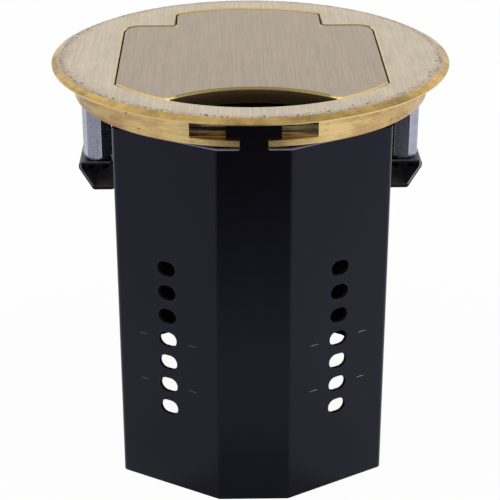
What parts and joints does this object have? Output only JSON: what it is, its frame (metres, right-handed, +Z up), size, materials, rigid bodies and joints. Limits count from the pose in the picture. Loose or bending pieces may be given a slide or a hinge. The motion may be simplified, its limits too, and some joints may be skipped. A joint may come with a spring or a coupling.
{
  "type": "conference table box",
  "caption": "Round brass table box with a flush hinged lid and cable notch over a folded black steel sleeve, held in the table by swing clamps.",
  "frame": {"origin": "middle of the flange's underside, where the ring's axis meets the table top", "axes": "+Z up along the ring's axis, -Y towards the cable exit, +X to the right seen from the cable exit"},
  "size_m": [0.1206, 0.1206, 0.1267],
  "materials": {
    "ring_brass": "turned and brushed, satin",
    "lid_brass": "brushed, satin",
    "pin_steel": "ground",
    "sleeve_black": "satin powder coat",
    "rivet_black": "satin",
    "zinc": "zinc plated",
    "arm_black": "satin",
    "plate_black": "satin",
    "socket_black": "moulded",
    "jack_grey": "moulded",
    "contact_brass": "plain"
  },
  "bodies": {
    "housing": {"table_ring": "ring_brass", "hinge_pin_left": "pin_steel", "hinge_pin_right": "pin_steel", "sleeve_front": "sleeve_black", "sleeve_rear": "sleeve_black", "sleeve_rivets": "rivet_black", "clamp_studs": "zinc", "device_plate": "plate_black", "plate_screws": "rivet_black", "plate_nuts": "zinc", "power_socket": "socket_black", "socket_terminals": "contact_brass", "data_jack_left": "jack_grey", "data_jack_right": "jack_grey", "jack_wires": "contact_brass"},
    "lid": {"lid": "lid_brass"},
    "clamp_left": {"standoff_left": "zinc", "clamp_screw_left": "arm_black", "clamp_washer_left": "arm_black"},
    "arm_left": {"clamp_arm_left": "arm_black"},
    "clamp_right": {"standoff_right": "zinc", "clamp_screw_right": "arm_black", "clamp_washer_right": "arm_black"},
    "arm_right": {"clamp_arm_right": "arm_black"}
  },
  "joints": [
    {"name": "lid_hinge", "type": "hinge", "parent": "housing", "child": "lid", "pos_m": [0, 0.035, -0.0014], "axis": [-1, 0, 0], "range_deg": [0, 120]},
    {"name": "clamp_left_drop", "type": "slide", "parent": "housing", "child": "clamp_left", "axis": [0, 0, -1], "range_m": [0, 0.01]},
    {"name": "arm_left_swing", "type": "hinge", "parent": "clamp_left", "child": "arm_left", "pos_m": [-0.0477, 0, -0.0325], "axis": [0, 0, 1], "range_deg": [0, 90]},
    {"name": "clamp_right_drop", "type": "slide", "parent": "housing", "child": "clamp_right", "axis": [0, 0, -1], "range_m": [0, 0.01]},
    {"name": "arm_right_swing", "type": "hinge", "parent": "clamp_right", "child": "arm_right", "pos_m": [0.0477, 0, -0.0325], "axis": [0, 0, -1], "range_deg": [0, 90]}
  ]
}
